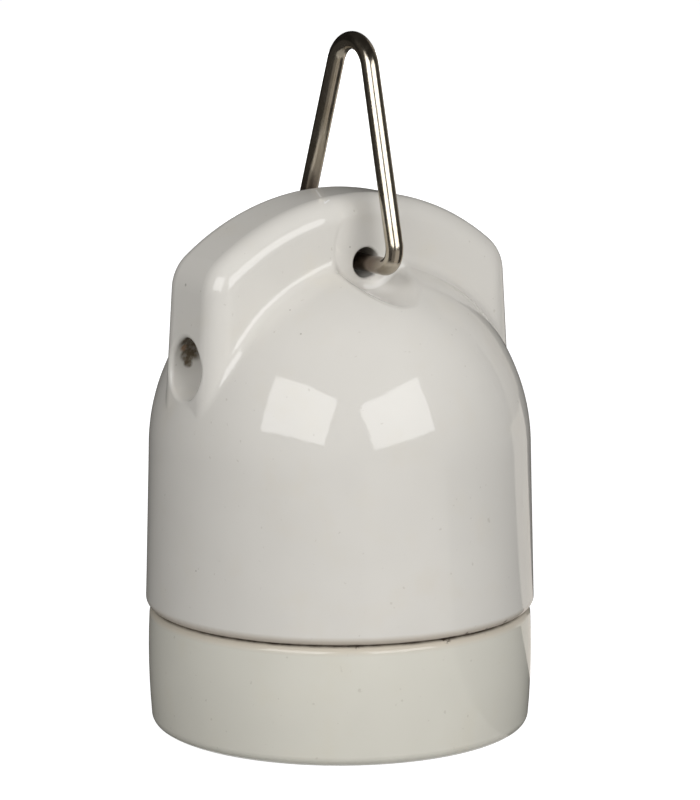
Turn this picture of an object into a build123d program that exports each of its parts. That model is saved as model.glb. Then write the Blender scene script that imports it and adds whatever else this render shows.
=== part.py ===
from build123d import *
from math import atan2, cos, radians, sin, sqrt, tan
import os

# Porcelain E27 lamp holder with a wire hanging bail. Millimetres, +Z up.
# Origin: on the socket axis, in the plane of the collar's lower rim.
# X runs along the ridge of the cap, Y runs through the bail eye.
# The sizes below are built from the inside out: screw shell, terminals, block, collar, cap, ridge, bail.

os.makedirs("parts", exist_ok=True)

# How near two measures count as the same, and how far a cutting tool runs past a face
same = 0.01
overrun = 1.0

# Screw shell for an E27 lamp
shell_inner_r = 13.3
shell_sheet = 0.45
shell_length = 18.5
shell_neck_step = 0.9
shell_neck_h = 3.6
shell_bead_r = 0.6
shell_corner_r = 0.9
shell_web = 0.8

# Small screws and the nut
m3_shank_r = 1.45
m3_head_r = 2.3
m3_head_h = 1.5
screw_fit = 0.05
screw_hole_gap = 0.25
screw_head_gap = 0.4
slot_width = 0.8
slot_depth = 0.9
head_edge = 0.4
nut_flats = 5.5
nut_h = 2.4
nut_gap = 0.15

# Terminal plates, saddles and their clamp screws
plate_length = 14.6
plate_thickness = 2.5
plate_end_margin = 3.0
plate_screw_margin = 3.3
saddle_length = 8.0
saddle_side_gap = 0.1
saddle_thickness = 1.2
saddle_lip_h = 0.7
saddle_lip_width = 0.9
clamp_shank_r = 1.7
clamp_head_inset = 0.5
clamp_head_h = 2.3
clamp_tip_past_plate = 0.9
clamp_tip_room = 0.5

# Centre contact, a bent spring strip
contact_sheet = 0.6
contact_width = 6.0
contact_screw_margin = 2.9
contact_base_end = 2.6
contact_tongue_drop = 2.4
contact_tongue_reach = 6.6
contact_tip_rise = 0.6
contact_tip_reach = 1.6
contact_bend_r = 1.0

# Contact block
turn_gap = 0.05
block_boss_gap = 0.7
block_boss_h = 3.2
block_flange_step = 2.7
block_flange_h = 5.0
block_rim_wall = 0.65
block_island_h = 0.8
block_island_gap = 0.4
block_edge = 0.5
pocket_floor_h = 1.8
pocket_rim_h = 0.3
pocket_gap = 0.2
pocket_wall = 1.3

# Collar ring
collar_step = 0.37
collar_foot_step = 0.5
collar_top_step = 0.2
collar_h = 17.3
collar_belly_depth = 7.3
collar_foot_round = 1.6
collar_top_round = 1.2
collar_mouth_step = 3.9
collar_mouth_round = 1.5
collar_mouth_depth = 6.5
collar_bore_slope_h = 3.0
collar_bore_gap = 2.3
neck_h = 11.9
neck_play = 0.2
neck_edge = 0.8
thread_gap = 1.2
thread_runout = 0.7

# Cap, inside
seat_gap = 0.4
cavity_gap = 0.9
ceiling_step = 3.0
cap_lead_in = 1.0
rib_width = 4.0
rib_reach = 2.4
rib_gap = 0.3

# Cap, outside: a tapered wall under a dome that is a little flatter than a ball
skirt_wall = 5.32
skirt_h = 23.2
dome_arc_inset = 1.6
wall_taper = 1.5
cap_rim_round = 1.3
turned_seam = 45.0
seam_gap = 0.1

# Ridge across the top of the cap
ridge_end_inset = 3.9
ridge_thickness = 14.1
ridge_rise = 7.74
ridge_crest_r = 36.3
ridge_corner_r = 6.4
ridge_end_draft = 3.9
ridge_edge_round = 3.5
ridge_root_round = 2.0
ridge_root_depth = 24.0

# Bail, an open loop of bent wire whose ends meet inside the eye
wire_r = 1.25
wire_end_edge = 0.2
bail_front_reach = 7.81
bail_back_reach = 4.35
bail_apex_y = -2.54
bail_apex_h = 41.9
bail_top_bend_r = 4.65
bail_foot_bend_r = 2.6
bail_end_inset = 1.45
bail_end_gap = 0.3
bail_lean = 1.5

# Bail eye through the ridge, with a trough in the dome before and behind it
eye_gap = 0.9
eye_depth = 9.6
eye_lip_round = 0.4
trough_r = 6.0
trough_floor_gap = 1.45
trough_slope = 8.0
trough_corner_round = 0.9
trough_rim_round = 1.6
trough_bite = 0.05
trough_reach = 16.0

# Cable entries at both ends of the ridge, rising inwards so that rain stays out
entry_r = 4.0
entry_h = 13.0
entry_rise = 20.0
entry_lip_round = 0.6
entry_depth = 15.0

# Radii, from the screw shell outwards
shell_neck_r = shell_inner_r - shell_neck_step
shell_screw_y = shell_neck_r - m3_head_r - screw_head_gap
shell_hole_r = shell_screw_y - m3_shank_r - screw_hole_gap - shell_web
block_island_r = shell_hole_r - block_island_gap
contact_screw_x = block_island_r - contact_screw_margin
plate_width = shell_screw_y - pocket_wall - 2 * pocket_gap
plate_reach = plate_length - plate_end_margin
plate_screw_spacing = plate_reach - plate_screw_margin
saddle_width = plate_width - 2 * saddle_side_gap
clamp_head_r = saddle_width / 2 - clamp_head_inset
collar_bore_r = shell_inner_r + collar_bore_gap
collar_mouth_r = collar_bore_r + collar_mouth_step
block_boss_r = collar_bore_r - block_boss_gap
block_body_r = sqrt(plate_reach**2 + (shell_screw_y + plate_width / 2) ** 2) + block_rim_wall
block_flange_r = block_body_r + block_flange_step
thread_root_r = block_flange_r + neck_play
cap_thread_r = thread_root_r + thread_gap
cap_seat_r = block_flange_r + seat_gap
cap_cavity_r = block_body_r + cavity_gap
cap_ceiling_r = cap_cavity_r + ceiling_step
cap_rim_r = cap_thread_r + skirt_wall
collar_r = cap_rim_r - collar_step
collar_foot_r = collar_r - collar_foot_step
collar_top_r = collar_r - collar_top_step
taper = tan(radians(wall_taper))
dome_arc_r = (cap_rim_r + dome_arc_inset - skirt_h * taper) * cos(radians(wall_taper))

# Heights, from the collar's rim upwards
cap_z = collar_h + seam_gap
neck_top_z = collar_h + neck_h
thread_top_z = neck_top_z + thread_runout
flange_z = neck_top_z + turn_gap
flange_top_z = flange_z + block_flange_h
cap_seat_z = flange_top_z + seat_gap
boss_z = flange_z - block_boss_h
island_z = boss_z - block_island_h
pocket_z = flange_top_z + pocket_floor_h
plate_top_z = pocket_z + plate_thickness
clamp_seat_h = plate_thickness + saddle_lip_h + saddle_thickness
pocket_depth = clamp_seat_h + clamp_head_h + pocket_rim_h
body_top_z = pocket_z + pocket_depth
shell_top_z = boss_z
shell_z = shell_top_z - shell_length
dome_centre_z = cap_z + skirt_h
dome_top_z = dome_centre_z + sqrt(dome_arc_r**2 - dome_arc_inset**2)
entry_z = dome_centre_z + entry_h
ridge_top_z = dome_top_z + ridge_rise
eye_z = ridge_top_z - eye_depth

# The ridge's outline and the bail's feet
half_ridge = ridge_thickness / 2
crest_centre_z = ridge_top_z - ridge_crest_r
corner_x = dome_arc_r - ridge_end_inset - ridge_corner_r
corner_z = crest_centre_z + sqrt((ridge_crest_r - ridge_corner_r) ** 2 - corner_x**2)
eye_r = wire_r + eye_gap
trough_floor_z = eye_z - eye_r - trough_floor_gap
bail_front_y = -half_ridge - bail_front_reach
bail_back_y = half_ridge + bail_back_reach
bail_front_end_y = bail_end_inset - half_ridge


def upright(profile):
    """Spin a closed profile, drawn as radius and height, about the Z axis."""
    face = make_face(profile)
    return revolve(Plane.XZ * face, Axis.Z)


def ring_edges(solid, radius, height):
    """The round edges about the Z axis of the given radius at the given height."""
    found = []
    for edge in solid.edges().filter_by(GeomType.CIRCLE):
        at_height = abs(edge.arc_center.Z - height) < same
        on_axis = Vector(edge.arc_center.X, edge.arc_center.Y).length < same
        if at_height and on_axis and abs(edge.radius - radius) < same:
            found.append(edge)
    return found


def dome_point(angle):
    """A point of the dome's arc, as radius and height, at an angle above its centre."""
    turn = radians(angle)
    return (dome_arc_r * cos(turn) - dome_arc_inset, dome_centre_z + dome_arc_r * sin(turn))


def cap_shell():
    """The cap's turned outside: a tapered wall and a dome that meets the axis level."""
    wall_direction = (-taper, 1)
    stations = [dome_point(angle) for angle in (wall_taper, 25, 48, 70)]
    dome = Spline(*stations, (0, dome_top_z), tangents=[wall_direction, (-1, 0)])
    wall = Polyline((0, dome_top_z), (0, cap_z), (cap_rim_r, cap_z), stations[0])
    return upright(wall + dome)


def ridge_end_x(height):
    """Where the ridge's leaning end stands at a height below its corner."""
    lean = radians(ridge_end_draft)
    top_x = corner_x + ridge_corner_r * cos(lean)
    top_z = corner_z + ridge_corner_r * sin(lean)
    return top_x + (top_z - height) * tan(lean)


def on_arc(centre_x, centre_z, radius, angle):
    """A point of an arc in the XZ plane, at an angle in radians above the level."""
    return (centre_x + radius * cos(angle), centre_z + radius * sin(angle))


def ridge():
    """The arched ridge, drawn in the XZ plane and rounded along both faces."""
    lean = radians(ridge_end_draft)
    crest = atan2(corner_z - crest_centre_z, corner_x)
    root_z = corner_z - ridge_root_depth
    side = on_arc(corner_x, corner_z, ridge_corner_r, lean)
    corner_mid = on_arc(corner_x, corner_z, ridge_corner_r, (crest + lean) / 2)
    crest_end = on_arc(0, crest_centre_z, ridge_crest_r, crest)
    crest_mid = on_arc(0, crest_centre_z, ridge_crest_r, (crest + radians(90)) / 2)
    outline = Polyline((0, ridge_top_z), (0, root_z), (ridge_end_x(root_z), root_z), side)
    outline += ThreePointArc(side, corner_mid, crest_end)
    outline += ThreePointArc(crest_end, crest_mid, (0, ridge_top_z))
    half = make_face(outline)
    bar = extrude(Plane.XZ * (half + mirror(half, Plane.YZ)), half_ridge, both=True)
    faces = bar.faces().filter_by(Axis.Y)
    rim = [e for e in faces.edges() if e.center().Z > root_z + same]
    return fillet(rim, ridge_edge_round)


def trough(side):
    """The tool that clears the dome before the eye, so that the bail's foot can swing."""
    wide_r = trough_r + trough_reach * tan(radians(trough_slope))
    tool = Cone(trough_r, wide_r, trough_reach, align=(Align.CENTER, Align.CENTER, Align.MIN))
    tool = fillet(tool.edges().sort_by(Axis.Z)[0], trough_corner_round)
    axis_z = trough_floor_z + trough_r
    return Pos(0, side * (half_ridge - trough_bite), axis_z) * Rot(X=-side * 90) * tool


def entry(side):
    """The tool for one cable entry, from outside the ridge's end to the cavity."""
    tool = Cylinder(entry_r, 2 * entry_depth)
    return Pos(side * ridge_end_x(entry_z), 0, entry_z) * Rot(Y=side * (90 + entry_rise)) * tool


def cap_cavity():
    """The inside of the cap: thread bore, seat for the block's flange, wiring space and ribs."""
    ceiling_join_z = dome_centre_z + sqrt(cap_ceiling_r**2 - cap_cavity_r**2)
    ceiling_top_z = dome_centre_z + cap_ceiling_r
    lead_r = cap_thread_r + cap_lead_in
    steps = Polyline(
        (0, ceiling_top_z),
        (0, cap_z - cap_lead_in),
        (lead_r, cap_z - cap_lead_in),
        (lead_r, cap_z),
        (cap_thread_r, cap_z + cap_lead_in),
        (cap_thread_r, thread_top_z),
        (cap_seat_r, thread_top_z + cap_thread_r - cap_seat_r),
        (cap_seat_r, cap_seat_z),
        (cap_cavity_r, cap_seat_z),
        (cap_cavity_r, ceiling_join_z),
    )
    bend = atan2(ceiling_join_z - dome_centre_z, cap_cavity_r) / 2 + radians(45)
    mid = (cap_ceiling_r * cos(bend), dome_centre_z + cap_ceiling_r * sin(bend))
    ceiling = ThreePointArc((cap_cavity_r, ceiling_join_z), mid, (0, ceiling_top_z))
    space = upright(steps + ceiling)
    rib_h = cap_seat_z - flange_z
    rib = Box(2 * rib_reach, rib_width, rib_h, align=(Align.CENTER, Align.CENTER, Align.MIN))
    for side in (-1, 1):
        space -= Pos(side * cap_seat_r, 0, flange_z) * rib
    return space


def make_cap():
    """The domed cap with its ridge, bail eye, troughs and cable entries."""
    # The line where the turned face closes is kept away from the ridge and the troughs
    shell = Rot(Z=turned_seam) * cap_shell()
    shell = fillet(ring_edges(shell, cap_rim_r, cap_z), cap_rim_round)
    bar = ridge()
    body = shell + bar
    body = fillet(new_edges(shell, bar, combined=body), ridge_root_round)
    body -= cap_cavity()
    # The two longest edges that the troughs leave are their rims on the dome
    troughs = trough(-1) + trough(1)
    dug = body - troughs
    rims = new_edges(body, troughs, combined=dug).sort_by(SortBy.LENGTH)[-2:]
    body = fillet(rims, trough_rim_round)
    body -= Pos(0, 0, eye_z) * Rot(X=90) * Cylinder(eye_r, ridge_thickness + 2 * trough_r)
    rings = [e for e in body.edges().filter_by(GeomType.CIRCLE) if abs(e.arc_center.Z - eye_z) < same]
    eye_lips = [e for e in rings if abs(e.radius - eye_r) < same]
    body = fillet(eye_lips, eye_lip_round)
    for side in (-1, 1):
        tool = entry(side)
        pierced = body - tool
        mouth = [e for e in new_edges(body, tool, combined=pierced) if abs(e.center().X) > cap_ceiling_r]
        body = fillet(mouth, entry_lip_round)
    return body


def make_collar():
    """The ring that screws into the cap and holds the contact block up."""
    belly = (collar_r, collar_h - collar_belly_depth)
    side = ThreePointArc((collar_foot_r, 0), belly, (collar_top_r, collar_h))
    rest = Polyline(
        (collar_top_r, collar_h),
        (thread_root_r, collar_h),
        (thread_root_r, neck_top_z),
        (collar_bore_r, neck_top_z),
        (collar_bore_r, collar_mouth_depth + collar_bore_slope_h),
        (collar_mouth_r, collar_mouth_depth),
        (collar_mouth_r, 0),
        (collar_foot_r, 0),
    )
    ring = upright(side + rest)
    ring = fillet(ring_edges(ring, collar_foot_r, 0), collar_foot_round)
    ring = fillet(ring_edges(ring, collar_mouth_r, 0), collar_mouth_round)
    ring = fillet(ring_edges(ring, collar_top_r, collar_h), collar_top_round)
    return fillet(ring_edges(ring, thread_root_r, neck_top_z), neck_edge)


def terminal_frames():
    """Where each terminal plate lies: at its fixing screw, on the pocket floor."""
    live = Pos(contact_screw_x, 0, pocket_z)
    neutral = Pos(0, shell_screw_y, pocket_z) * Rot(Z=180)
    return {"live": live, "neutral": neutral}


def hole(radius, bottom, top):
    """A round upright tool between two heights."""
    upwards = (Align.CENTER, Align.CENTER, Align.MIN)
    return Pos(0, 0, bottom) * Cylinder(radius, top - bottom, align=upwards)


def make_block():
    """The porcelain contact block: flange, boss, island, pockets and screw holes."""
    outline = Polyline(
        (0, island_z),
        (block_island_r, island_z),
        (block_island_r, boss_z),
        (block_boss_r, boss_z),
        (block_boss_r, flange_z),
        (block_flange_r, flange_z),
        (block_flange_r, flange_top_z),
        (block_body_r, flange_top_z),
        (block_body_r, body_top_z),
        (0, body_top_z),
        close=True,
    )
    block = upright(outline)
    soft = ring_edges(block, block_boss_r, boss_z) + ring_edges(block, block_flange_r, flange_top_z)
    soft += ring_edges(block, block_flange_r, flange_z) + ring_edges(block, block_body_r, body_top_z)
    block = chamfer(soft, block_edge)
    notch = Box(2 * (rib_reach + rib_gap), rib_width + 2 * rib_gap, 2 * block_flange_h)
    for side in (-1, 1):
        block -= Pos(side * cap_seat_r, 0, flange_z + block_flange_h / 2) * notch
    pocket_width = plate_width + 2 * pocket_gap
    open_end = (Align.MIN, Align.CENTER, Align.MIN)
    pocket = Box(2 * block_body_r, pocket_width, 2 * pocket_depth, align=open_end)
    screw_hole = hole(m3_shank_r + screw_hole_gap, island_z - pocket_z, pocket_depth)
    tip_depth = clamp_tip_past_plate + clamp_tip_room
    tip_hole = hole(clamp_shank_r + screw_hole_gap, -tip_depth, pocket_depth)
    tip_hole = Pos(plate_screw_spacing, 0, 0) * tip_hole
    for frame in terminal_frames().values():
        block -= frame * (Pos(-plate_end_margin - pocket_gap, 0, 0) * pocket + screw_hole + tip_hole)
    nut_space = RegularPolygon(nut_flats / 2 + nut_gap, 6, major_radius=False)
    block -= Pos(0, -shell_screw_y, pocket_z) * (extrude(nut_space, 2 * pocket_depth) + screw_hole)
    return block


def make_shell():
    """The screw shell, upside down: a drawn cup with a rolled mouth, a neck and a pierced base."""
    bead_z = shell_z + shell_bead_r
    inside = shell_profile(0, shell_z - overrun, shell_top_z - shell_sheet)
    cup = shell_profile(shell_sheet, bead_z, shell_top_z)
    bead_centre_r = shell_inner_r + shell_bead_r + shell_sheet / 4
    bead = Pos(0, 0, bead_z) * Torus(bead_centre_r, shell_bead_r)
    cup = cup - inside + bead - hole(shell_hole_r, shell_z, shell_top_z + shell_sheet)
    for side in (-1, 1):
        screw_hole = hole(m3_shank_r + screw_hole_gap, shell_z, shell_top_z + shell_sheet)
        cup -= Pos(0, side * shell_screw_y, 0) * screw_hole
    return cup


def shell_profile(extra, bottom, top):
    """One side of the drawn cup, as a solid: the lamp bore, the shoulder and the neck."""
    shoulder_z = shell_top_z - shell_neck_h
    bore_r = shell_inner_r + extra
    neck_r = shell_neck_r + extra
    outline = Polyline(
        (0, bottom),
        (bore_r, bottom),
        (bore_r, shoulder_z - shell_neck_step),
        (neck_r, shoulder_z),
        (neck_r, top),
        (0, top),
        close=True,
    )
    cup = upright(outline)
    return fillet(ring_edges(cup, neck_r, top), shell_corner_r - shell_sheet + extra)


def make_centre_contact():
    """The springy centre contact, bent from one strip and screwed to the island."""
    level = island_z - contact_sheet / 2
    start_x = contact_screw_x + contact_base_end
    bend_x = contact_screw_x - contact_base_end
    low = (bend_x - contact_tongue_reach, 0, level - contact_tongue_drop)
    tip = (low[0] - contact_tip_reach, 0, low[2] + contact_tip_rise)
    path = FilletPolyline((start_x, 0, level), (bend_x, 0, level), low, tip, radius=contact_bend_r)
    end = Plane(origin=path @ 0, z_dir=path % 0, x_dir=(0, 1, 0))
    strip = sweep(end * Rectangle(contact_width, contact_sheet), path=path)
    screw_hole = hole(m3_shank_r + screw_hole_gap, level - overrun, level + overrun)
    return strip - Pos(contact_screw_x, 0, 0) * screw_hole


def make_terminal():
    """A terminal plate, with its fixing screw's hole at the origin."""
    body = Box(plate_length, plate_width, plate_thickness, align=(Align.MIN, Align.CENTER, Align.MIN))
    plate = Pos(-plate_end_margin, 0, 0) * body
    plate = chamfer(plate.edges().filter_by(Axis.Z), head_edge)
    above = plate_thickness + overrun
    plate -= hole(m3_shank_r + screw_fit, -overrun, above)
    return plate - Pos(plate_screw_spacing, 0, 0) * hole(clamp_shank_r + screw_fit, -overrun, above)


def make_saddle():
    """The square washer under a clamp screw, with two edges turned down beside the wire."""
    height = saddle_lip_h + saddle_thickness
    body = Box(saddle_length, saddle_width, height, align=(Align.CENTER, Align.CENTER, Align.MIN))
    body = chamfer(body.edges().filter_by(Axis.Z), head_edge)
    wire_way = Box(saddle_length, saddle_width - 2 * saddle_lip_width, 2 * saddle_lip_h)
    body = body - wire_way - hole(clamp_shank_r + screw_hole_gap, 0, height)
    return Pos(plate_screw_spacing, 0, plate_thickness) * body


def make_screw(head_r, head_h, shank_r, shank_length):
    """A slotted screw pointing up, with the seat of its head at the origin."""
    head = fillet(ring_edges(hole(head_r, -head_h, 0), head_r, -head_h), head_edge)
    slot = Pos(0, 0, -head_h) * Box(2 * head_r, slot_width, 2 * slot_depth)
    shank = chamfer(ring_edges(hole(shank_r, 0, shank_length), shank_r, shank_length), head_edge)
    return head - slot + shank


def make_clamp_screw():
    """A clamp screw, head up on its saddle."""
    length = clamp_seat_h + clamp_tip_past_plate
    screw = make_screw(clamp_head_r, clamp_head_h, clamp_shank_r, length)
    return Pos(plate_screw_spacing, 0, clamp_seat_h) * Rot(X=180) * screw


def make_nut():
    """The hexagon nut that holds the shell's second screw."""
    outline = RegularPolygon(nut_flats / 2, 6, major_radius=False)
    return extrude(outline, nut_h) - hole(m3_shank_r + screw_fit, -overrun, nut_h + overrun)


def make_bail():
    """The open loop of bent wire. Its plane passes through the eye and leans a little."""
    back_end_y = bail_front_end_y + bail_end_gap
    corners = [
        (0, bail_front_end_y, 0),
        (0, bail_front_y, 0),
        (0, bail_apex_y, bail_apex_h),
        (0, bail_back_y, 0),
        (0, back_end_y, 0),
    ]
    path = FilletPolyline(*corners, radius=[bail_foot_bend_r, bail_top_bend_r, bail_foot_bend_r])
    wire = sweep(Plane(origin=path @ 0, z_dir=path % 0) * Circle(wire_r), path=path)
    rings = wire.edges().filter_by(GeomType.CIRCLE)
    ends = [e for e in rings if bail_front_end_y - same < e.arc_center.Y < back_end_y + same]
    wire = chamfer(ends, wire_end_edge)
    return Pos(0, 0, eye_z) * Rot(Y=bail_lean) * wire


frames = terminal_frames()
contact_screw_length = plate_top_z - island_z + contact_sheet
shell_screw_length = plate_top_z - shell_top_z + shell_sheet
nut_screw_length = pocket_z + nut_h - shell_top_z + shell_sheet
contact_seat_z = island_z - contact_sheet
shell_seat_z = shell_top_z - shell_sheet

parts = {
    "cap": make_cap(),
    "collar": make_collar(),
    "bail": make_bail(),
    "contact_block": make_block(),
    "screw_shell": make_shell(),
    "centre_contact": make_centre_contact(),
    "contact_screw": Pos(contact_screw_x, 0, contact_seat_z)
    * make_screw(m3_head_r, m3_head_h, m3_shank_r, contact_screw_length),
    "shell_screw_neutral": Pos(0, shell_screw_y, shell_seat_z)
    * make_screw(m3_head_r, m3_head_h, m3_shank_r, shell_screw_length),
    "shell_screw_plain": Pos(0, -shell_screw_y, shell_seat_z)
    * make_screw(m3_head_r, m3_head_h, m3_shank_r, nut_screw_length),
    "shell_nut": Pos(0, -shell_screw_y, pocket_z) * make_nut(),
}
for name, frame in frames.items():
    parts[f"{name}_terminal"] = frame * make_terminal()
    parts[f"{name}_saddle"] = frame * make_saddle()
    parts[f"{name}_clamp_screw"] = frame * make_clamp_screw()

for name, shape in parts.items():
    export_step(shape, f"parts/{name}.step")
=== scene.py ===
from math import atan2, cos, degrees, pi, radians, sin, tau

import bpy
from bpy.props import FloatProperty, FloatVectorProperty, IntProperty, PointerProperty
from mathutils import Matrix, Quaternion, Vector


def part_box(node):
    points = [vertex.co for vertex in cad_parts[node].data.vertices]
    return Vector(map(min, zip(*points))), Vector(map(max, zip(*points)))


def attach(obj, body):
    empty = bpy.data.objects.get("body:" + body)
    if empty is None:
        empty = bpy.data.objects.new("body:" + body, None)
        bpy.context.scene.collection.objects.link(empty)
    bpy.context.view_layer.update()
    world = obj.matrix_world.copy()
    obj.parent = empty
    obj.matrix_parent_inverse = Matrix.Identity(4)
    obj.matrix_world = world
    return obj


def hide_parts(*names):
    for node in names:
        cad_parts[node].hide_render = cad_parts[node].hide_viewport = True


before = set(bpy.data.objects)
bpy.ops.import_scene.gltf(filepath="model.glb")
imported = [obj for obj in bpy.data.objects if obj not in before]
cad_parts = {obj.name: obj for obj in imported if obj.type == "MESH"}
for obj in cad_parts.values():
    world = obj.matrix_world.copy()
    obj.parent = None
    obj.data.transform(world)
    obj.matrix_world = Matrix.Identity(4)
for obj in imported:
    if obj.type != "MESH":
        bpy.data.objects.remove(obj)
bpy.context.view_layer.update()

bl_info = {
    "name": "Porcelain Lamp Holder",
    "version": (1, 0, 0),
    "blender": (4, 5, 0),
    "location": "View3D > Sidebar > Lamp Holder",
    "description": "Glazes, plates, threads and lights a porcelain lamp holder",
    "category": "Object",
}

MM = 0.001
MERGE_GAP = 0.01 * MM
# The share of its radius by which a neck thread's ends run into the wall that carries it
THREAD_SINK = 0.035
RIM_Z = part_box("cap")[0].z
NECK_TOP_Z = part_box("collar")[1].z
SHELL_MOUTH_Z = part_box("screw_shell")[0].z
SHELL_TOP_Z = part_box("screw_shell")[1].z

# How far the glaze's clouds and warm blotches, and dull metal, leave their own colour
CLOUD_TINT = 1.03
DULL_TINT = (1, 0.97, 0.92)
WARM_TINT = (1.0, 0.975, 0.92)

# Small flaws of the old glaze, in millimetres: place and radius
PINHOLES = (
    ((-24.97, 0.9, 65.6), 0.32),
    ((-2.8, -7.05, 70.15), 0.2),
    ((-14.4, -9.6, 62.55), 0.18),
    ((-15.1, -13.5, 59.8), 0.2),
    ((-27.27, -5.25, 26.24), 0.18),
)
# The seam's dirt fades in between these radii, and never gets further in
SEAM_DIRT_STARTS = (25.2 * MM, 26.4 * MM)
SEAM_CHIPS = (
    ((0.2, -26.9, 17.3), 0.9),
    ((3.4, -27.3, 17.5), 0.7),
    ((7.0, -26.4, 17.4), 0.8),
    ((11.5, -25.2, 17.5), 0.9),
    ((-12.6, -24.0, 17.3), 0.5),
    ((-16.5, -21.6, 17.3), 0.35),
)
# Brown dirt in the cable entry, together with painted shade under the entry's upper lip and deep in
# its bore
ENTRY_DIRT_AND_SHADE = (
    ((-23.2, 2.7, 57.3), 2.0),
    ((-22.2, 3.0, 57.1), 2.6),
    ((-21.7, 3.7, 55.9), 2.0),
    ((-22.9, 3.9, 55.1), 1.5),
    ((-22.9, 3.9, 54.0), 0.9),
)
ENTRY_RUST = (((-23.8, 3.5, 56.2), 0.8),)
# Dirt inside the eye, darkened further as painted shade in the depth of the hole
EYE_DIRT_AND_SHADE = tuple(((0, side, 69.1), 3.2) for side in (-4, 0, 4))
# Tarnish on the bail round the eye, darkened further as painted shade where the wire lies in the
# dark hole
WIRE_TARNISH_AND_SHADE = (((0, 0, 69), 14.5),)
# A painted highlight along the lip of the eye, under the bail's foot
LIP_PAINTED_HIGHLIGHT = (
    (-0.27, -7.24, 64.29),
    (0.57, -7.51, 64.11),
    (1.6, -7.48, 64.31),
    (3.73, -7.32, 65.54),
    (5.46, -7.79, 66.88),
)
# Painted light that makes the trough under the eye lighter
TROUGH_PAINTED_LIGHT = (((1.5, -8.4, 63.8), 3.6), ((4.5, -8.6, 65.2), 2.6))
CREST_CRACK = (
    (-2.6, 2.2, 77.2),
    (-4.75, -2.25, 76.98),
    (-5.82, -5.22, 76.39),
    (-4.91, -4.84, 76.71),
)


class Finish:
    """A material, and the node tools that build its pattern on Object coordinates."""

    def __init__(self, name, colour, roughness, metallic=0.0, ior=1.5):
        self.material = bpy.data.materials.new(name)
        self.material.use_nodes = True
        self.tree = self.material.node_tree
        self.shader = self.tree.nodes["Principled BSDF"]
        self.shader.inputs["Base Color"].default_value = (*colour, 1)
        self.shader.inputs["Roughness"].default_value = roughness
        self.shader.inputs["Metallic"].default_value = metallic
        self.shader.inputs["IOR"].default_value = ior
        self.place = self.add("ShaderNodeTexCoord").outputs["Object"]
        self.skin = colour

    def add(self, kind, inputs=(), **options):
        """A new node; an input is given a value, or linked where it is a socket."""
        node = self.tree.nodes.new(kind)
        for option, value in options.items():
            setattr(node, option, value)
        for key, value in dict(inputs).items():
            if isinstance(value, bpy.types.NodeSocket):
                self.tree.links.new(value, node.inputs[key])
            else:
                node.inputs[key].default_value = value
        return node

    def noise(self, size, detail=2.0, stretch=(1, 1, 1)):
        """Soft noise whose blotches are about size metres across."""
        scaled = self.add("ShaderNodeMapping", {"Vector": self.place, "Scale": stretch})
        place = scaled.outputs[0]
        inputs = {"Vector": place, "Scale": 1 / size, "Detail": detail}
        return self.add("ShaderNodeTexNoise", inputs).outputs[0]

    def fade(self, value, low, high, start=0.0, end=1.0):
        """A smooth step from start to end as value goes from low to high."""
        inputs = {"Value": value, "From Min": low, "From Max": high, "To Min": start, "To Max": end}
        return self.add("ShaderNodeMapRange", inputs, interpolation_type="SMOOTHSTEP").outputs[0]

    def math(self, operation, first, second):
        """One sum on two numbers."""
        return self.add("ShaderNodeMath", {0: first, 1: second}, operation=operation).outputs[0]

    def mix(self, mask, first, second):
        """The first colour where the mask is 0 and the second where it is 1."""
        colours = [c if isinstance(c, bpy.types.NodeSocket) else (*c, 1) for c in (first, second)]
        inputs = {0: mask, 6: colours[0], 7: colours[1]}
        return self.add("ShaderNodeMix", inputs, data_type="RGBA").outputs[2]

    def cover(self, mask, colour):
        """Lays a colour over the finish where the mask is 1."""
        self.skin = self.mix(mask, self.skin, colour)

    def spots(self, places, edge=0.35):
        """A mask of round marks, given as places and radii in millimetres."""
        mask = 0.0
        for place, radius in places:
            away = self.vector("DISTANCE", {0: self.place, 1: Vector(place) * MM}, "Value")
            mark = self.fade(away, radius * MM * (1 - edge), radius * MM, 1, 0)
            mask = self.math("MAXIMUM", mask, mark)
        return mask

    def streak(self, points, radius):
        """A mask of a thin mark along points; the points and the radius are in millimetres."""
        mask = 0.0
        for start, end in zip(points, points[1:]):
            along = (Vector(end) - Vector(start)) * MM
            away = self.vector("SUBTRACT", {0: self.place, 1: Vector(start) * MM})
            share = self.vector("DOT_PRODUCT", {0: away, 1: along / along.length_squared}, "Value")
            share = self.add("ShaderNodeClamp", {0: share}).outputs[0]
            foot = self.vector("SCALE", {0: along, 3: share})
            gap = self.vector("DISTANCE", {0: away, 1: foot}, "Value")
            mask = self.math("MAXIMUM", mask, self.fade(gap, 0, radius * MM, 1, 0))
        return mask

    def vector(self, operation, inputs, output="Vector"):
        """One sum on vectors."""
        return self.add("ShaderNodeVectorMath", inputs, operation=operation).outputs[output]

    def height(self):
        """The Object coordinate along Z."""
        return self.add("ShaderNodeSeparateXYZ", {0: self.place}).outputs["Z"]

    def bump(self, layers):
        """Bumps on each other; a layer is its pattern and its depth in metres."""
        below = None
        for pattern, depth in layers:
            inputs = {"Height": pattern, "Distance": depth, "Strength": 1.0}
            if below:
                inputs["Normal"] = below
            below = self.add("ShaderNodeBump", inputs).outputs[0]
        self.tree.links.new(below, self.shader.inputs["Normal"])

    def set(self, socket, value):
        """Links a pattern to a socket of the shader."""
        self.tree.links.new(value, self.shader.inputs[socket])


def tint(colour, factor):
    """A lighter or darker version of a colour."""
    return [min(1.0, channel * factor) for channel in colour]


def dress(names, finish):
    """Gives CAD nodes a finish."""
    for name in names:
        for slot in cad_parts[name].material_slots:
            slot.material = finish.material


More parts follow.
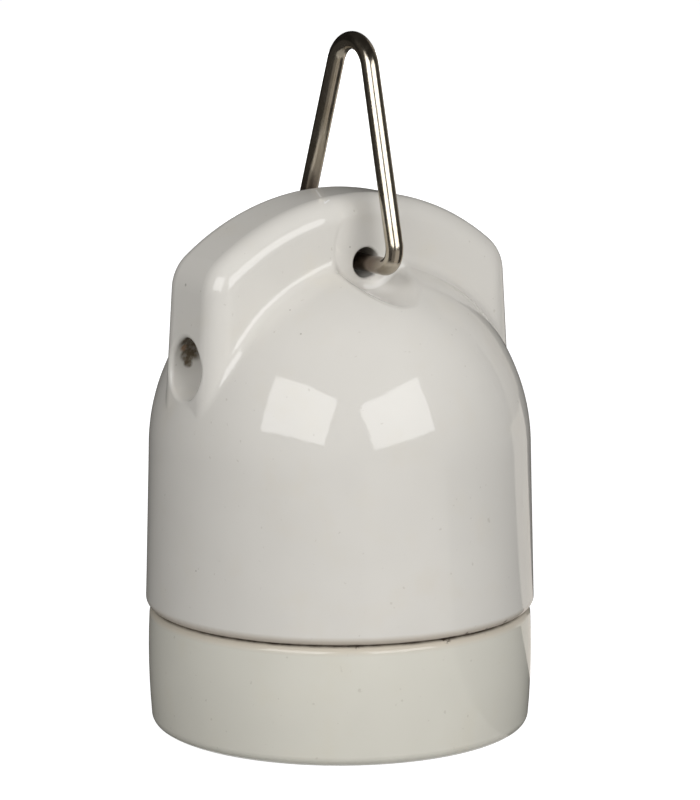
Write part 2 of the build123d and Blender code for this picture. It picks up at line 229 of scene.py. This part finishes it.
def glaze(name, colour, settings):
    """Glossy porcelain glaze: faint clouds, fine specks and soft ripples."""
    finish = Finish(name, colour, settings.roughness, ior=settings.ior)
    clouds = finish.fade(finish.noise(16 * MM, 2), 0.35, 0.65)
    finish.cover(clouds, tint(colour, CLOUD_TINT))
    warmth = finish.fade(finish.noise(7 * MM, 3), 0.5, 0.8, 0, 0.4)
    finish.cover(warmth, Vector(colour) * Vector(WARM_TINT))
    specks = finish.fade(finish.noise(0.9 * MM, 1), 0.74, 0.8, 0, 0.25)
    finish.cover(specks, settings.speck_colour)
    gloss = settings.roughness * 0.8, settings.roughness * 1.3
    finish.set("Roughness", finish.fade(finish.noise(6 * MM, 2), 0.3, 0.7, *gloss))
    waves = finish.noise(20 * MM, 1), settings.ripple
    dimples = finish.noise(4.5 * MM, 2), settings.ripple * 0.05
    peel = finish.noise(1.6 * MM, 2), settings.ripple * 0.006
    finish.bump([waves, dimples, peel])
    return finish


def dirty_seam(finish, settings):
    """Brown dirt and chips where the cap meets the collar."""
    away = finish.math("ABSOLUTE", finish.math("SUBTRACT", finish.height(), RIM_Z), 0.0)
    across = finish.vector("MULTIPLY", {0: finish.place, 1: (1, 1, 0)})
    radius = finish.vector("LENGTH", {0: across}, "Value")
    outside = finish.fade(radius, *SEAM_DIRT_STARTS)
    halo = finish.fade(away, 0.5 * MM, 1.6 * MM, 0.6, 0)
    finish.cover(finish.math("MULTIPLY", halo, outside), settings.halo_colour)
    broken = finish.fade(finish.noise(3 * MM, 3), 0.35, 0.65, 0.45, 0.95)
    line = finish.math("MULTIPLY", finish.fade(away, 0.1 * MM, 0.45 * MM, 1, 0), outside)
    finish.cover(finish.math("MULTIPLY", line, broken), settings.dirt_colour)
    ragged = finish.fade(finish.noise(0.7 * MM, 2), 0.4, 0.55)
    chips = finish.math("MULTIPLY", finish.spots(SEAM_CHIPS, 0.6), ragged)
    finish.cover(chips, settings.dirt_colour)


def age_cap_and_paint_light(finish, settings):
    """Pinholes, a fine crack, a painted highlight on the eye's lip with painted light in the trough
    below it, and dirt with painted shade in the eye and the cable entry.
    """
    ragged = finish.fade(finish.noise(0.9 * MM, 3), 0.3, 0.6, 0.6, 0.95)
    # Painted light here: the lighter trough and the highlight on the eye's lip; the eye and entry
    # dirt also paint the shade inside those holes
    marks = (
        (finish.spots(PINHOLES, 0.9), 0.5, settings.stain_and_shade_colour),
        (finish.streak(CREST_CRACK, 0.22), 0.7, settings.crack_colour),
        (finish.spots(TROUGH_PAINTED_LIGHT, 1.0), 0.6, settings.painted_highlight_colour),
        (finish.streak(LIP_PAINTED_HIGHLIGHT, 0.75), 1.0, settings.painted_highlight_colour),
        (finish.spots(EYE_DIRT_AND_SHADE, 0.3), 0.55, settings.stain_and_shade_colour),
        (finish.spots(ENTRY_DIRT_AND_SHADE, 0.5), ragged, settings.stain_and_shade_colour),
        (finish.spots(ENTRY_RUST, 0.8), ragged, settings.rust_colour),
    )
    for mask, strength, colour in marks:
        finish.cover(finish.math("MULTIPLY", mask, strength), colour)


def metal(name, colour, roughness, grain=1.2 * MM, stretch=(1, 1, 1), tarnish=0.85):
    """Metal with fine working marks and faint tarnish."""
    finish = Finish(name, colour, roughness, metallic=1.0)
    dull = finish.fade(finish.noise(4 * MM, 3), 0.4, 0.7)
    finish.cover(dull, Vector(colour) * Vector(DULL_TINT) * tarnish)
    finish.set("Base Color", finish.skin)
    marks = finish.noise(grain, 3, stretch)
    finish.set("Roughness", finish.fade(marks, 0.25, 0.75, roughness * 0.75, roughness * 1.35))
    finish.bump([(marks, grain * 0.004)])
    return finish


def start_piece(name):
    """Names the new active object and puts its place into its mesh."""
    piece = bpy.context.object
    piece.name = piece.data.name = name
    bpy.ops.object.transform_apply(location=True, rotation=True, scale=True)
    return piece


def arc(middle, radius, angles):
    """Points on an arc round a middle, for a drawn line."""
    return [(middle[0] + radius * cos(a), middle[1] + radius * sin(a)) for a in angles]


def draw_line(name, points):
    """A line of edges in the XZ plane, drawn point by point with the extrude tool."""
    bpy.ops.object.select_all(action="DESELECT")
    spots = [Vector((radius, 0, height)) for radius, height in points]
    bpy.ops.mesh.primitive_plane_add(size=MM, location=spots[0])
    piece = start_piece(name)
    bpy.ops.object.mode_set(mode="EDIT")
    bpy.ops.mesh.select_mode(type="VERT")
    bpy.ops.mesh.select_all(action="SELECT")
    bpy.ops.mesh.merge(type="CENTER")
    for here, there in zip(spots, spots[1:]):
        bpy.ops.mesh.extrude_vertices_move(TRANSFORM_OT_translate={"value": there - here})
    bpy.ops.object.mode_set(mode="OBJECT")
    return piece


def turn(piece, steps, pitch=0.0, turns=1):
    """Turns a drawn line about the Z axis: once round, or up a screw thread."""
    screw = piece.modifiers.new("turn", "SCREW")
    screw.axis = "Z"
    screw.angle = tau
    screw.steps = screw.render_steps = steps
    screw.screw_offset = pitch
    screw.iterations = turns
    bpy.ops.object.modifier_apply(modifier=screw.name)
    bpy.ops.object.mode_set(mode="EDIT")
    bpy.ops.mesh.select_all(action="SELECT")
    bpy.ops.mesh.remove_doubles(threshold=MERGE_GAP)
    bpy.ops.object.mode_set(mode="OBJECT")


def trim(piece, low, high):
    """Cuts a piece off level at a lower and an upper height."""
    bpy.ops.object.mode_set(mode="EDIT")
    for height, direction in ((low, -1), (high, 1)):
        bpy.ops.mesh.select_all(action="SELECT")
        cut = {"plane_co": (0, 0, height), "plane_no": (0, 0, direction), "threshold": 1e-7}
        bpy.ops.mesh.bisect(clear_outer=True, **cut)
    bpy.ops.object.mode_set(mode="OBJECT")


def open_rims(piece, heights):
    """Selects the open edges at the given heights."""
    bpy.ops.object.mode_set(mode="EDIT")
    bpy.ops.mesh.select_mode(type="EDGE")
    bpy.ops.mesh.select_all(action="DESELECT")
    bpy.ops.mesh.select_non_manifold(extend=False)
    bpy.ops.object.mode_set(mode="OBJECT")
    points = piece.data.vertices
    for edge in piece.data.edges:
        ends = [points[i].co.z for i in edge.vertices]
        level = all(any(abs(end - z) < MERGE_GAP for z in heights) for end in ends)
        edge.select = edge.select and level
    if not any(edge.select for edge in piece.data.edges):
        raise RuntimeError(piece.name + " has no open rims at these heights")
    bpy.ops.object.mode_set(mode="EDIT")


def finish_sheet(piece, thickness, offset, angle=35):
    """Makes a turned sheet solid, with its faces outwards and smooth."""
    bpy.ops.object.mode_set(mode="EDIT")
    bpy.ops.mesh.select_all(action="SELECT")
    bpy.ops.mesh.remove_doubles(threshold=MERGE_GAP)
    bpy.ops.mesh.normals_make_consistent(inside=False)
    bpy.ops.object.mode_set(mode="OBJECT")
    wall = piece.modifiers.new("wall", "SOLIDIFY")
    wall.thickness = thickness
    wall.offset = offset
    bpy.ops.object.modifier_apply(modifier=wall.name)
    bpy.ops.object.mode_set(mode="EDIT")
    bpy.ops.mesh.select_all(action="SELECT")
    bpy.ops.mesh.normals_make_consistent(inside=False)
    bpy.ops.object.mode_set(mode="OBJECT")
    bpy.ops.object.shade_smooth_by_angle(angle=radians(angle))


class GlazeSettings(bpy.types.PropertyGroup):
    """Colours and surface of the porcelain."""

    cap_colour: FloatVectorProperty(
        name="Cap", description="Glaze of the cap",
        subtype="COLOR", min=0, max=1, default=(0.755, 0.73, 0.68),
    )
    collar_colour: FloatVectorProperty(
        name="Collar", description="Glaze of the collar",
        subtype="COLOR", min=0, max=1, default=(0.745, 0.725, 0.645),
    )
    block_colour: FloatVectorProperty(
        name="Block", description="Porcelain of the contact block",
        subtype="COLOR", min=0, max=1, default=(0.75, 0.73, 0.68),
    )
    dirt_colour: FloatVectorProperty(
        name="Dirt", description="Dirt and chips along the seam",
        subtype="COLOR", min=0, max=1, default=(0.09, 0.065, 0.045),
    )
    halo_colour: FloatVectorProperty(
        name="Halo", description="Faint soil beside the seam",
        subtype="COLOR", min=0, max=1, default=(0.62, 0.53, 0.42),
    )
    # Colour of real stains, also used for the painted shade inside the eye and the cable entry
    stain_and_shade_colour: FloatVectorProperty(
        name="Stain", description="Old dirt in the holes",
        subtype="COLOR", min=0, max=1, default=(0.12, 0.085, 0.045),
    )
    rust_colour: FloatVectorProperty(
        name="Rust", description="Rust spot in the cable entry",
        subtype="COLOR", min=0, max=1, default=(0.35, 0.17, 0.06),
    )
    crack_colour: FloatVectorProperty(
        name="Crack", description="The fine crack on the crest",
        subtype="COLOR", min=0, max=1, default=(1, 1, 1),
    )
    # Colour of the painted highlight on the eye's lip and of the painted light in the trough
    painted_highlight_colour: FloatVectorProperty(
        name="Painted Highlight", description="The lip of the eye where the bail rubs",
        subtype="COLOR", min=0, max=1, default=(0.96, 0.94, 0.9),
    )
    speck_colour: FloatVectorProperty(
        name="Specks", description="Fine specks in the glaze",
        subtype="COLOR", min=0, max=1, default=(0.42, 0.38, 0.31),
    )
    roughness: FloatProperty(
        name="Roughness", description="Gloss of the glaze",
        min=0, max=1, default=0.055,
    )
    ior: FloatProperty(
        name="IOR", description="Refraction of the glaze",
        min=1, max=2.5, default=1.5,
    )
    ripple: FloatProperty(
        name="Ripple", description="Depth of the waves in the glaze",
        unit="LENGTH", min=0, precision=5, default=0.12 * MM,
    )


class MetalSettings(bpy.types.PropertyGroup):
    """Colours of the metal pieces."""

    wire_colour: FloatVectorProperty(
        name="Wire", description="Plated wire of the bail",
        subtype="COLOR", min=0, max=1, default=(0.56, 0.51, 0.43),
    )
    # Colour of the tarnish with painted shade on the wire in and near the eye
    tarnish_and_shade_colour: FloatVectorProperty(
        name="Tarnish", description="The wire where it lies in the eye",
        subtype="COLOR", min=0, max=1, default=(0.2, 0.16, 0.13),
    )
    shell_colour: FloatVectorProperty(
        name="Shell", description="Nickelled brass of the screw shell",
        subtype="COLOR", min=0, max=1, default=(0.66, 0.62, 0.55),
    )
    brass_colour: FloatVectorProperty(
        name="Brass", description="Contacts and terminals",
        subtype="COLOR", min=0, max=1, default=(0.72, 0.52, 0.24),
    )
    steel_colour: FloatVectorProperty(
        name="Steel", description="Screws, nut and saddles",
        subtype="COLOR", min=0, max=1, default=(0.55, 0.54, 0.52),
    )
    wire_roughness: FloatProperty(
        name="Wire gloss", description="Roughness of the wire",
        min=0, max=1, default=0.2,
    )


class ThreadSettings(bpy.types.PropertyGroup):
    """Sizes of the two screw threads."""

    lamp_pitch: FloatProperty(
        name="Lamp pitch", description="Rise of the lamp's thread in one turn",
        unit="LENGTH", precision=5, default=3.629 * MM,
    )
    lamp_depth: FloatProperty(
        name="Lamp depth", description="Depth of the lamp's rolled thread",
        unit="LENGTH", precision=5, default=1.15 * MM,
    )
    shell_radius: FloatProperty(
        name="Shell radius", description="Bore of the screw shell",
        unit="LENGTH", precision=5, default=13.3 * MM,
    )
    sheet: FloatProperty(
        name="Sheet", description="Thickness of the shell's sheet",
        unit="LENGTH", precision=5, default=0.45 * MM,
    )
    neck_pitch: FloatProperty(
        name="Neck pitch", description="Rise of the collar's thread in one turn",
        unit="LENGTH", precision=5, default=3 * MM,
    )
    neck_depth: FloatProperty(
        name="Neck depth", description="Height of the collar's thread",
        unit="LENGTH", precision=5, default=0.88 * MM,
    )
    neck_radius: FloatProperty(
        name="Neck radius", description="Root of the collar's thread",
        unit="LENGTH", precision=5, default=21.5 * MM,
    )
    bore_radius: FloatProperty(
        name="Bore radius", description="Bore of the cap",
        unit="LENGTH", precision=5, default=22.7 * MM,
    )
    steps: IntProperty(
        name="Steps", description="Faces round one turn",
        min=24, max=256, default=112,
    )


# The two soft boxes: azimuth from the camera, elevation, level, width, height and roll
BOXES = (
    ("left box", -27, 25, 0.4, 0.72, 0.5, -8),
    ("right box", 38, 22, 0.365, 0.73, 0.47, 9),
)
# Lamps that reflections don't show: azimuth from the camera, elevation, level and size in metres
FILLS = (
    ("right fill", 38, 26, 0.16, 0.9),
    ("top fill", 0, 80, 0.085, 1.0),
    ("back fill", 180, 12, 0.55, 0.6),
)
CLOTH_COLOUR = (1, 0.93, 0.84, 1)
FLOOR_COLOUR = (0.4, 0.4, 0.4, 1)
# The tent's cloths: brightness, which way they face (0 is a wall, 1 the roof and -1 the
# ground), and their azimuths from the camera
CLOTHS = (
    ("wall", 0.065, 0, -180, 180),
    ("dim wall", 0.015, 0, -180, -95),
    ("panel", 0.4, 0, 130, 152),
    ("roof", 0.03, 1, -180, 180),
    ("ground", 0.05, -1, -180, 180),
    ("near ground", 0.2, -1, -25, 12),
    ("lit ground", 0.5, -1, 12, 62),
    ("far ground", 0.75, -1, 123, 149),
)


class StageSettings(bpy.types.PropertyGroup):
    """Camera and light. Angles are measured from the camera, clockwise from above."""

    azimuth: FloatProperty(name="Azimuth", description="Camera's side angle", default=32.99)
    elevation: FloatProperty(
        name="Elevation", description="Camera's height angle",
        default=10.348,
    )
    distance: FloatProperty(
        name="Distance", description="Camera to its target",
        unit="LENGTH", default=0.57506,
    )
    lens: FloatProperty(name="Lens", description="Focal length in millimetres", default=180.65)
    target_side: FloatProperty(
        name="Target side", description="Target's offset to the right",
        unit="LENGTH", default=1.462 * MM,
    )
    target_height: FloatProperty(
        name="Target height", description="Target's height",
        unit="LENGTH", default=46.962 * MM,
    )
    ambient: FloatProperty(
        name="Ambient", description="Strength of the soft light from all round",
        default=0.16,
    )
    floor_glow: FloatProperty(
        name="Floor glow", description="What whitens the floor for the camera",
        default=0.93,
    )


class LampHolderSettings(bpy.types.PropertyGroup):
    """All that a user would change."""

    glaze: PointerProperty(type=GlazeSettings)
    metal: PointerProperty(type=MetalSettings)
    thread: PointerProperty(type=ThreadSettings)
    stage: PointerProperty(type=StageSettings)


class LAMPHOLDER_OT_glaze(bpy.types.Operator):
    """Glaze the cap, the collar and the contact block"""

    bl_idname = "lampholder.glaze"
    bl_label = "Glaze the Porcelain"

    def execute(self, context):
        settings = context.scene.lamp_holder.glaze
        cap = glaze("cap glaze", settings.cap_colour, settings)
        dirty_seam(cap, settings)
        age_cap_and_paint_light(cap, settings)
        collar = glaze("collar glaze", settings.collar_colour, settings)
        dirty_seam(collar, settings)
        block = glaze("block porcelain", settings.block_colour, settings)
        for node, finish in (("cap", cap), ("collar", collar), ("contact_block", block)):
            finish.set("Base Color", finish.skin)
            dress([node], finish)
        return {"FINISHED"}


class LAMPHOLDER_OT_metal(bpy.types.Operator):
    """Plate the bail, the contacts and the screws"""

    bl_idname = "lampholder.metal"
    bl_label = "Finish the Metal"

    def execute(self, context):
        settings = context.scene.lamp_holder.metal
        gloss = settings.wire_roughness
        wire = metal("plated wire", settings.wire_colour, gloss, 0.6 * MM, (1, 1, 0.2))
        # Tarnish and painted shade on the wire near the eye
        wire.cover(wire.spots(WIRE_TARNISH_AND_SHADE, 0.35), settings.tarnish_and_shade_colour)
        wire.set("Base Color", wire.skin)
        dress(["bail"], wire)
        brass = metal("terminal brass", settings.brass_colour, 0.28, tarnish=0.7)
        dress(["centre_contact", "live_terminal", "neutral_terminal"], brass)
        steel = metal("zinced steel", settings.steel_colour, 0.3, 0.8 * MM)
        small = ["contact_screw", "shell_screw_neutral", "shell_screw_plain", "shell_nut"]
        clamps = ["live_saddle", "live_clamp_screw", "neutral_saddle", "neutral_clamp_screw"]
        dress(small + clamps, steel)
        return {"FINISHED"}


class LAMPHOLDER_OT_screw_shell(bpy.types.Operator):
    """Roll the lamp's thread into the screw shell"""

    bl_idname = "lampholder.screw_shell"
    bl_label = "Roll the Screw Shell"

    def execute(self, context):
        thread = context.scene.lamp_holder.thread
        radius, pitch, sheet = thread.shell_radius, thread.lamp_pitch, thread.sheet
        wave = thread.lamp_depth / 2
        start = SHELL_MOUTH_Z - pitch
        points = []
        for step in range(15):
            share = step / 14
            points.append((radius - wave + wave * cos(tau * share), start + share * pitch))
        piece = draw_line("threaded_shell", points)
        turn(piece, thread.steps, pitch, 7)
        low, high = SHELL_MOUTH_Z + 1.9 * MM, SHELL_TOP_Z - 5.4 * MM
        trim(piece, low, high)

        # The curled lip of the mouth, and its plain band up to the thread
        lip_end, cup_start = low - 0.7 * MM, high + 0.5 * MM
        curl = 0.6 * MM
        middle = radius + curl, SHELL_MOUTH_Z + curl
        lip = arc(middle, curl, [radians(40 - 20 * step) for step in range(12)])
        lip.append((radius, lip_end))
        bead = draw_line("bead", lip)
        turn(bead, thread.steps)

        # The narrower cup with the shell's base, which is open round the block's island
        neck = radius - 0.9 * MM
        base = SHELL_TOP_Z - sheet
        corner = 0.45 * MM
        island_hole = 7.2 * MM
        cup = [(radius, cup_start), (radius, SHELL_TOP_Z - 4.5 * MM)]
        cup += [(neck, SHELL_TOP_Z - 3.6 * MM), (neck, base - corner)]
        cup += arc((neck - corner, base - corner), corner, (pi / 6, pi / 3, pi / 2))
        cup += [(neck - 2 * MM, base), (island_hole, base)]
        drawn = draw_line("cup", cup)
        turn(drawn, thread.steps)

        for part in (bead, drawn, piece):
            part.select_set(True)
        bpy.context.view_layer.objects.active = piece
        bpy.ops.object.join()
        for pair in ((low, lip_end), (high, cup_start)):
            open_rims(piece, pair)
            bpy.ops.mesh.bridge_edge_loops()
        finish_sheet(piece, sheet, 1)
        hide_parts("screw_shell")
        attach(piece, "insert")
        settings = context.scene.lamp_holder.metal
        grain = 0.9 * MM, (1, 1, 0.3)
        finish = metal("nickelled shell", settings.shell_colour, 0.24, *grain, tarnish=0.8)
        piece.data.materials.append(finish.material)
        return {"FINISHED"}


class LAMPHOLDER_OT_neck_thread(bpy.types.Operator):
    """Mould the coarse thread of the collar's neck and of the cap's bore"""

    bl_idname = "lampholder.neck_thread"
    bl_label = "Mould the Neck Thread"

    def execute(self, context):
        settings = context.scene.lamp_holder
        thread = settings.thread
        pitch, rise = thread.neck_pitch, thread.neck_depth
        start = RIM_Z - 2 * pitch
        skin = 0.04 * MM
        neck_root, bore_root = thread.neck_radius + skin, thread.bore_radius - skin
        neck_ends = RIM_Z + 0.6 * MM, NECK_TOP_Z - 1.1 * MM
        bore_ends = RIM_Z + 1.9 * MM, NECK_TOP_Z + 0.1 * MM
        rows = (
            ("neck_thread", "collar", "collar_glaze", neck_root, 1, start, neck_ends),
            ("bore_thread", "cap", "cap_glaze", bore_root, -1, start + pitch / 2, bore_ends),
        )
        for name, body, slot, root, way, first, (low, high) in rows:
            points = []
            for step in range(17):
                share = step / 16
                crest = self.crest(share - 0.5)
                points.append((root + way * rise * crest, first + share * pitch))
            piece = draw_line(name, points)
            turn(piece, thread.steps, pitch, 8)
            trim(piece, low, high)
            sink = 1 - way * THREAD_SINK
            open_rims(piece, (low, high))
            bpy.ops.mesh.extrude_edges_move()
            bpy.ops.transform.resize(value=(sink, sink, 1), center_override=(0, 0, 0))
            bpy.ops.object.mode_set(mode="OBJECT")
            finish_sheet(piece, 0.3 * MM, -way, 50)
            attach(piece, body)
            piece.data.materials.append(bpy.data.materials[slot.replace("_", " ")])
        return {"FINISHED"}

    def crest(self, off):
        """How high the rounded thread stands this share of a pitch off its middle."""
        width = 0.62
        return max(0.0, cos(pi * off / width)) ** 1.4 if abs(off) < width / 2 else 0.0


def towards(azimuth, elevation, side):
    """A direction at an angle to the camera's, clockwise from above, and above the floor."""
    turned, tilt = radians(azimuth - side), radians(elevation)
    return Vector((sin(turned) * cos(tilt), -cos(turned) * cos(tilt), sin(tilt)))


def softbox(name, side, azimuth, elevation, level, width, height, roll=0.0, distance=1.0):
    """A soft rectangular lamp that faces the object; level is how bright it makes a white sheet."""
    light = bpy.data.lights.new(name, "AREA")
    light.shape = "RECTANGLE"
    light.size, light.size_y = width, height
    light.energy = level * pi**2 * distance**2
    lamp = bpy.data.objects.new(name, light)
    bpy.context.scene.collection.objects.link(lamp)
    direction = towards(azimuth, elevation, side)
    lamp.location = direction * distance + Vector((0, 0, 0.05))
    facing = direction.to_track_quat("Z", "Y") @ Quaternion((0, 0, 1), radians(roll))
    lamp.rotation_mode = "QUATERNION"
    lamp.rotation_quaternion = facing
    lamp.visible_camera = False
    return lamp


class LAMPHOLDER_OT_stage(bpy.types.Operator):
    """Set up the camera, the soft boxes, the cloth tent and the white floor"""

    bl_idname = "lampholder.stage"
    bl_label = "Set the Stage"

    def execute(self, context):
        settings = context.scene.lamp_holder.stage
        self.place_camera(context, settings)
        side = settings.azimuth
        for name, *box in BOXES:
            softbox(name, side, *box)
        for name, azimuth, elevation, level, size in FILLS:
            fill = softbox(name, side, azimuth, elevation, level, size, size)
            fill.visible_glossy = False
        self.lay_floor(settings)
        self.raise_tent(side)
        self.light_world(context, settings)
        return {"FINISHED"}

    def place_camera(self, context, settings):
        """The camera at the photo's viewing angle."""
        back = towards(0, settings.elevation, settings.azimuth)
        right = Vector((cos(radians(settings.azimuth)), -sin(radians(settings.azimuth)), 0))
        data = bpy.data.cameras.new("camera")
        data.lens = settings.lens
        data.sensor_width = 36
        data.clip_start, data.clip_end = 0.01, 100
        camera = bpy.data.objects.new("camera", data)
        context.scene.collection.objects.link(camera)
        target = right * settings.target_side + Vector((0, 0, settings.target_height))
        camera.location = target + back * settings.distance
        camera.rotation_mode = "QUATERNION"
        camera.rotation_quaternion = back.to_track_quat("Z", "Y")
        context.scene.camera = camera

    def seen_white(self, tree):
        """Light Path's camera, glossy and transmission rays together."""
        path = tree.nodes.new("ShaderNodeLightPath")
        seen = path.outputs["Is Camera Ray"]
        for ray in ("Is Glossy Ray", "Is Transmission Ray"):
            larger = tree.nodes.new("ShaderNodeMath")
            larger.operation = "MAXIMUM"
            tree.links.new(seen, larger.inputs[0])
            tree.links.new(path.outputs[ray], larger.inputs[1])
            seen = larger.outputs[0]
        return seen

    def lay_floor(self, settings):
        """A pale floor that the camera sees white, with the object's soft shadow."""
        bpy.ops.object.select_all(action="DESELECT")
        bpy.ops.mesh.primitive_plane_add(size=60, location=(0, 0, 0))
        floor = start_piece("floor")
        finish = bpy.data.materials.new("pale floor")
        finish.use_nodes = True
        tree = finish.node_tree
        shader = tree.nodes["Principled BSDF"]
        shader.inputs["Base Color"].default_value = FLOOR_COLOUR
        shader.inputs["Roughness"].default_value = 1
        shader.inputs["Specular IOR Level"].default_value = 0
        shader.inputs["Emission Color"].default_value = (1, 1, 1, 1)
        glow = tree.nodes.new("ShaderNodeMath")
        glow.operation = "MULTIPLY"
        glow.inputs[1].default_value = settings.floor_glow
        tree.links.new(self.seen_white(tree), glow.inputs[0])
        tree.links.new(glow.outputs[0], shader.inputs["Emission Strength"])
        floor.data.materials.append(finish)

    def raise_tent(self, side):
        """A cloth tent that only reflections see, with cloths of differing brightness."""
        bpy.ops.object.select_all(action="DESELECT")
        bpy.ops.mesh.primitive_cylinder_add(
            vertices=72, radius=1.4, depth=1.2, end_fill_type="TRIFAN", location=(0, 0, 0.6005)
        )
        tent = start_piece("cloth_tent")
        for row in CLOTHS:
            cloth = Finish(row[0] + " cloth", (0, 0, 0), 1.0)
            cloth.shader.inputs["Specular IOR Level"].default_value = 0
            cloth.shader.inputs["Emission Color"].default_value = CLOTH_COLOUR
            cloth.shader.inputs["Emission Strength"].default_value = row[1]
            tent.data.materials.append(cloth.material)
        for face in tent.data.polygons:
            turned = degrees(atan2(face.center.x, -face.center.y)) + side
            turned = (turned + 180) % 360 - 180
            for index, (_, _, way, low, high) in enumerate(CLOTHS):
                if round(face.normal.z) == way and low < turned < high:
                    face.material_index = index
        tent.visible_camera = tent.visible_diffuse = tent.visible_shadow = False
        tent.visible_transmission = tent.visible_volume_scatter = False

    def light_world(self, context, settings):
        """A world that is white to the eye and in reflections, and a weak even light."""
        world = bpy.data.worlds.new("studio")
        world.use_nodes = True
        context.scene.world = world
        tree = world.node_tree
        strength = tree.nodes.new("ShaderNodeMapRange")
        strength.inputs["To Min"].default_value = settings.ambient
        strength.inputs["To Max"].default_value = 1.0
        tree.links.new(self.seen_white(tree), strength.inputs["Value"])
        background = tree.nodes["Background"]
        background.inputs["Color"].default_value = (1, 1, 1, 1)
        tree.links.new(strength.outputs["Result"], background.inputs["Strength"])
        context.scene.view_settings.view_transform = "Standard"


STEPS = (
    LAMPHOLDER_OT_glaze,
    LAMPHOLDER_OT_metal,
    LAMPHOLDER_OT_screw_shell,
    LAMPHOLDER_OT_neck_thread,
    LAMPHOLDER_OT_stage,
)


class LAMPHOLDER_PT_panel(bpy.types.Panel):
    """The lamp holder's pieces and settings, in the sidebar"""

    bl_label = "Lamp Holder"
    bl_idname = "LAMPHOLDER_PT_panel"
    bl_space_type = "VIEW_3D"
    bl_region_type = "UI"
    bl_category = "Lamp Holder"

    def draw(self, context):
        settings = context.scene.lamp_holder
        for step in STEPS:
            self.layout.operator(step.bl_idname)
        for group in (settings.glaze, settings.metal, settings.thread, settings.stage):
            box = self.layout.box()
            for name in group.bl_rna.properties.keys():
                if name not in ("name", "rna_type"):
                    box.prop(group, name)


CLASSES = (
    GlazeSettings,
    MetalSettings,
    ThreadSettings,
    StageSettings,
    LampHolderSettings,
    *STEPS,
    LAMPHOLDER_PT_panel,
)


def register():
    for cls in CLASSES:
        bpy.utils.register_class(cls)
    bpy.types.Scene.lamp_holder = PointerProperty(type=LampHolderSettings)


def unregister():
    del bpy.types.Scene.lamp_holder
    for cls in reversed(CLASSES):
        bpy.utils.unregister_class(cls)


def main():
    register()
    bpy.ops.lampholder.glaze()
    bpy.ops.lampholder.metal()
    bpy.ops.lampholder.screw_shell()
    bpy.ops.lampholder.neck_thread()
    bpy.ops.lampholder.stage()


if __name__ == "__main__":
    main()
